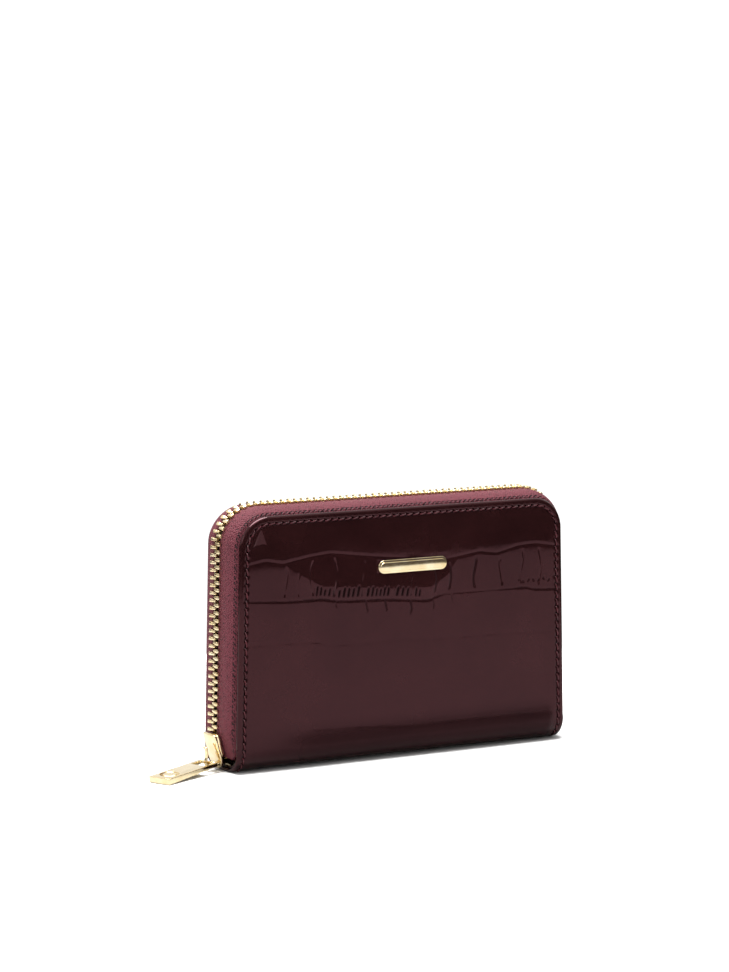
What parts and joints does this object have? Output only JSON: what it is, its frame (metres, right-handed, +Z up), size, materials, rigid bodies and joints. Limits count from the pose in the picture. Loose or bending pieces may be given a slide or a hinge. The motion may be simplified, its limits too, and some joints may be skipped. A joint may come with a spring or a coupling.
{
  "type": "zip-around wallet",
  "caption": "Upright zip-around wallet with glossy embossed leather covers, a metal zip round three sides, card slips, gussets and a zipped coin pocket.",
  "frame": {"origin": "middle of the spine's flat underside, on the surface that the closed wallet stands on", "axes": "+X along the width, -Y out of the front cover, +Z up from the spine to the zipped top edge"},
  "size_m": [0.1635, 0.0273, 0.0897],
  "materials": {
    "patent_leather": "gloss",
    "slip_leather": "satin",
    "lining": "matte",
    "zip_tape": "matte",
    "thread": "satin",
    "board": "matte",
    "gold_metal": "polished"
  },
  "bodies": {
    "center": {"spine_leather": "patent_leather", "spine_lining": "lining", "front_spine_fold": "patent_leather", "rear_spine_fold": "patent_leather", "coin_pocket_front_wall": "lining", "coin_pocket_rear_wall": "lining", "coin_pocket_side_seams": "lining", "coin_zip_tapes": "zip_tape", "coin_zip_teeth": "gold_metal", "coin_zip_stops": "gold_metal", "left_front_gusset": "lining", "left_rear_gusset": "lining", "right_front_gusset": "lining", "right_rear_gusset": "lining", "left_end_tab": "patent_leather", "right_end_tab": "patent_leather"},
    "front_half": {"front_leather": "patent_leather", "front_board": "board", "front_stitching": "thread", "front_zip_tape": "zip_tape", "front_zip_bead": "zip_tape", "front_zip_teeth": "gold_metal", "front_inner_panel": "lining", "front_card_slip_1": "slip_leather", "front_card_slip_2": "slip_leather", "front_card_slip_3": "slip_leather", "front_card_slip_4": "slip_leather", "badge_plate": "gold_metal"},
    "rear_half": {"rear_leather": "patent_leather", "rear_board": "board", "rear_stitching": "thread", "rear_zip_tape": "zip_tape", "rear_zip_bead": "zip_tape", "rear_zip_teeth": "gold_metal", "rear_inner_panel": "lining", "rear_card_slip_1": "slip_leather", "rear_card_slip_2": "slip_leather", "rear_card_slip_3": "slip_leather", "rear_card_slip_4": "slip_leather"},
    "main_slider": {"main_slider_body": "gold_metal", "main_slider_crown": "gold_metal"},
    "main_pull": {"main_pull_tab": "gold_metal"},
    "coin_slider": {"coin_slider_body": "gold_metal", "coin_slider_crown": "gold_metal"},
    "coin_pull": {"coin_pull_tab": "gold_metal"}
  },
  "joints": [
    {"name": "front_half_open", "type": "hinge", "parent": "center", "child": "front_half", "pos_m": [0, -0.0042, 0.008], "axis": [1, 0, 0], "range_deg": [0, 45], "deforming": ["front_spine_fold", "left_front_gusset", "right_front_gusset", "front_zip_bead", "front_zip_teeth"]},
    {"name": "rear_half_open", "type": "hinge", "parent": "center", "child": "rear_half", "pos_m": [0, 0.0042, 0.008], "axis": [-1, 0, 0], "range_deg": [0, 45], "deforming": ["rear_spine_fold", "left_rear_gusset", "right_rear_gusset", "rear_zip_bead", "rear_zip_teeth"]},
    {"name": "main_slider_travel", "type": "slide", "parent": "rear_half", "child": "main_slider", "axis": [0.0232, 0, 0.9997], "range_m": [0, 0.055]},
    {"name": "main_pull_swing", "type": "hinge", "parent": "main_slider", "child": "main_pull", "pos_m": [-0.06927, 0, 0.00286], "axis": [-0.4147, 0.91, 0], "range_deg": [-70, 45]},
    {"name": "coin_slider_travel", "type": "slide", "parent": "center", "child": "coin_slider", "axis": [1, 0, 0], "range_m": [0, 0.094], "deforming": ["coin_zip_teeth"]},
    {"name": "coin_pull_swing", "type": "hinge", "parent": "coin_slider", "child": "coin_pull", "pos_m": [-0.04745, 0, 0.07095], "axis": [0, -1, 0], "range_deg": [0, 175]}
  ]
}
